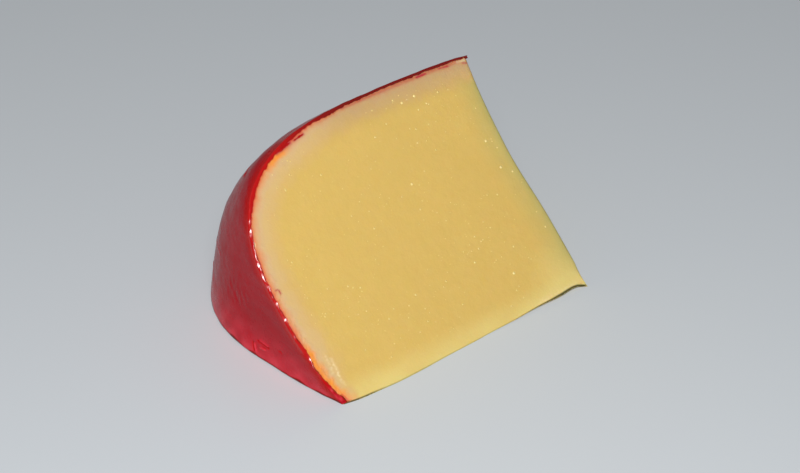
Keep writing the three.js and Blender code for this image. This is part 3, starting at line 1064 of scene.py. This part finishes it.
def ramp(tree, value, stops):
    """Colours by value, from (value, colour) stops."""
    node = tree.nodes.new("ShaderNodeValToRGB")
    node.color_ramp.interpolation = "EASE"
    elements = node.color_ramp.elements
    while len(elements) < len(stops):
        elements.new(0.5)
    for element, (place, colour) in zip(elements, stops):
        element.position = place
        element.color = colour
    tree.links.new(value, node.inputs["Fac"])
    return node.outputs["Color"]


def rgb(red, green, blue):
    """A display colour, 0 to 255, as the linear colour a shader takes."""

    def linear(value):
        value /= 255
        return value / 12.92 if value <= 0.04045 else ((value + 0.055) / 1.055) ** 2.4

    return (linear(red), linear(green), linear(blue), 1)


# ---- materials


CORE = (rgb(218, 185, 101), rgb(225, 192, 110))
NEAR_WAX = (
    (0.3, rgb(221, 186, 118)), (0.57, rgb(221, 188, 128)), (0.74, rgb(220, 186, 136)),
    (0.85, rgb(222, 177, 132)), (0.92, rgb(222, 163, 118)), (0.96, rgb(223, 140, 100)),
    (0.985, rgb(219, 108, 73)), (1.0, rgb(208, 82, 52)),
)
NEAR_WAX_BLEND = (0, 0.4)
MASK_COLOURS = {
    # painted glow of light through the thin edge
    "thin": rgb(230, 208, 130),
    # painted shade along the rounded edge
    "edge": rgb(192, 180, 110),
    "orange": rgb(246, 158, 58),
    # pale scratches, and a painted highlight at the lifted corner
    "pale": rgb(244, 222, 172),
    # painted shade along the top side
    "painted_top_shade": rgb(188, 152, 104),
    "smear": rgb(190, 55, 66),
    # painted shadow under the sharp edge
    "edge_shadow": rgb(84, 78, 34),
}
TOP_SHADE_MOST = 0.5
PASTE_GLOSS = {
    "Subsurface Weight": 0.8,
    "Subsurface Radius": (1.0, 0.65, 0.35),
    "Subsurface Scale": 0.00045,
    "Roughness": 0.42,
    "Specular IOR Level": 0.4,
}
FINE_GRAIN = 0.00004
COARSE_GRAIN = 0.0001
BEAD_COLOURS = (rgb(238, 210, 130), rgb(246, 224, 156))
BEAD_ROUGHNESS = 0.17
WAX_SIDE = (rgb(160, 8, 22), rgb(180, 13, 30))
# Painted sheen and reflection: the pink at the foot, on the ridges and at the tip
WAX_SHEEN_PINK = rgb(218, 58, 72)
WAX_BRIGHT = (rgb(180, 10, 10), rgb(190, 16, 14))
# Painted shade: the maroon of the creases, the lip's groove, the foot line and the rim along the top; the
# scraps take a little of it
WAX_SHADE_MAROON = rgb(121, 19, 13)
WAX_DEPTHS = {
    "Subsurface Weight": 0.15,
    "Subsurface Radius": (1.0, 0.12, 0.08),
    "Subsurface Scale": 0.0015,
}
FLOOR_COLOUR = (0.65, 0.685, 0.715, 1)
FLOOR_ROUGHNESS = 0.32


def paste_material():
    material, tree, shader = new_material("cheese_paste")

    def tinted(colour, name, most=None):
        mask = masked(tree, name)
        factor = mask if most is None else ranged(tree, mask, 0, 1, 0, most)
        return mixed(tree, colour, MASK_COLOURS[name], factor)

    colour = mixed(tree, *CORE, noise(tree, scale=260, detail=4, rough=0.6))
    # Painted glow at the thin edge, then painted shade along the rounded edge
    colour = tinted(tinted(colour, "thin"), "edge")
    stained = ramp(tree, masked(tree, "near_wax"), NEAR_WAX)
    colour = mixed(tree, colour, stained, ranged(tree, masked(tree, "near_wax"), *NEAR_WAX_BLEND))
    colour = tinted(tinted(colour, "orange"), "pale")
    colour = tinted(colour, "painted_top_shade", TOP_SHADE_MOST)
    colour = tinted(tinted(colour, "smear"), "edge_shadow")
    tree.links.new(colour, shader.inputs["Base Color"])
    set_values(shader, PASTE_GLOSS)
    fine = bumped(tree, noise(tree, scale=1500, detail=3, rough=0.6), FINE_GRAIN)
    coarse = bumped(tree, noise(tree, scale=420), COARSE_GRAIN, fine)
    tree.links.new(coarse, shader.inputs["Normal"])
    return material


def bead_material():
    material, tree, shader = new_material("fat_beads")
    tree.links.new(mixed(tree, *BEAD_COLOURS, noise(tree, scale=300)), shader.inputs["Base Color"])
    shader.inputs["Roughness"].default_value = BEAD_ROUGHNESS
    return material


def wax_material(name, roughness, gloss, dents):
    """Red wax: how rough it is, from and to, how strongly it reflects, and how deep its dents are."""
    material, tree, shader = new_material(name)
    side = mixed(tree, *WAX_SIDE, noise(tree, scale=90, detail=3, rough=0.55))
    # Painted pink sheen and reflection, where the foot mask holds it
    side = mixed(tree, side, WAX_SHEEN_PINK, masked(tree, "foot"))
    bright = mixed(tree, *WAX_BRIGHT, noise(tree, scale=700))
    colour = mixed(tree, side, bright, ranged(tree, masked(tree, "rim"), 0, 0.5))
    # Painted maroon shade where the rim mask is past one half
    colour = mixed(tree, colour, WAX_SHADE_MAROON, ranged(tree, masked(tree, "rim"), 0.5, 1))
    tree.links.new(colour, shader.inputs["Base Color"])
    set_values(shader, WAX_DEPTHS)
    shader.inputs["Specular IOR Level"].default_value = gloss
    patches = ranged(tree, noise(tree, scale=400, detail=3), 0.3, 0.7, *roughness)
    tree.links.new(patches, shader.inputs["Roughness"])
    dented = bumped(tree, noise(tree, scale=320, detail=3, rough=0.55), dents)
    tree.links.new(dented, shader.inputs["Normal"])
    return material


def floor_material():
    material, _, shader = new_material("floor")
    set_values(shader, {"Base Color": FLOOR_COLOUR, "Roughness": FLOOR_ROUGHNESS})
    return material


# ---- camera and studio


CAMERA_FROM_CORNER = Vector((-366.07, -474.72, 507.18))
CAMERA_FORWARD = Vector((0.5003, 0.6217, -0.6027))
CAMERA_ROLL = math.radians(1.28)
LENS = 135
SENSOR_WIDTH = 36
CLIP_START = 0.01
FLOOR_REACH = 3  # metres, as all of the studio is
FLOOR_BELOW = 0.00002
BACKDROP_COLOUR = (0.94, 0.97, 1, 1)
BACKDROP_LIGHTS = 0.15  # how strongly it lights the cheese
BACKDROP_SHOWS = 0.6


def add_camera():
    forward = CAMERA_FORWARD.normalized()
    level = forward.cross(Vector((0, 0, 1))).normalized()
    above = level.cross(forward)
    right = level * math.cos(CAMERA_ROLL) + above * math.sin(CAMERA_ROLL)
    up = above * math.cos(CAMERA_ROLL) - level * math.sin(CAMERA_ROLL)
    data = bpy.data.cameras.new("camera")
    data.lens = LENS
    data.sensor_width = SENSOR_WIDTH
    data.clip_start = CLIP_START
    camera = placed("camera", data)
    camera.matrix_world = Matrix((right, up, -forward)).transposed().to_4x4()
    camera.location = CORNER + CAMERA_FROM_CORNER * MM
    bpy.context.scene.camera = camera


def add_light(name, place, size, power):
    """A round soft light that faces the cheese."""
    data = bpy.data.lights.new(name, "AREA")
    data.shape = "DISK"
    data.size = size
    data.energy = power
    light = placed(name, data)
    light.location = place
    light.rotation_euler = (-Vector(place)).to_track_quat("-Z", "Y").to_euler()


def add_floor():
    mesh = bpy.data.meshes.new("floor")
    signs = ((-1, -1), (1, -1), (1, 1), (-1, 1))
    corners = [(FLOOR_REACH * x, FLOOR_REACH * y, -FLOOR_BELOW) for x, y in signs]
    mesh.from_pydata(corners, [], [(0, 1, 2, 3)])
    mesh.materials.append(floor_material())
    floor = placed("floor", mesh)


def add_world():
    """A pale backdrop that lights the cheese only faintly."""
    world = bpy.data.worlds.new("studio")
    world.use_nodes = True
    tree = world.node_tree
    background = tree.nodes["Background"]
    background.inputs["Color"].default_value = BACKDROP_COLOUR
    seen = tree.nodes.new("ShaderNodeLightPath").outputs["Is Camera Ray"]
    strength = ranged(tree, seen, 0, 1, BACKDROP_LIGHTS, BACKDROP_SHOWS)
    tree.links.new(strength, background.inputs["Strength"])
    bpy.context.scene.world = world


def dress(piece, material):
    piece.data.materials.append(material)
    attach(piece, "root")
    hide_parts("cheese_wedge")


GLOSSY_FROM = 0.49  # how much darker than pink the wax is where its cut edge begins


def with_glossy_rim(piece, material):
    """Gives the wax's cut edge a material of its own, but not its foot."""
    mesh = piece.data
    mesh.materials.append(material)
    masks = {}
    for name in ("rim", "foot"):
        masks[name] = np.zeros(len(mesh.vertices), np.float32)
        mesh.attributes[name].data.foreach_get("value", masks[name])
    glossy = masks["rim"] - masks["foot"]
    for face in mesh.polygons:
        face.material_index = int(min(glossy[i] for i in face.vertices) > GLOSSY_FROM)


add_camera()
add_floor()
add_world()
add_light("key", place=(-0.363, -0.451, 0.689), size=0.3, power=1.6)
add_light("flash", place=(-0.37, -0.46, 0.61), size=0.05, power=5.1)
bpy.context.scene.view_settings.view_transform = "Standard"

wax = wax_material("wax_coat", roughness=(0.24, 0.34), gloss=0.13, dents=0.0001)
wax_edge = wax_material("wax_edge", roughness=(0.19, 0.24), gloss=0.5, dents=0.00001)
dress(cheese_paste(), paste_material())
coat = wax_coat()
dress(coat, wax)
with_glossy_rim(coat, wax_edge)
dress(fat_beads(), bead_material())
dress(wax_scraps(), wax_edge)
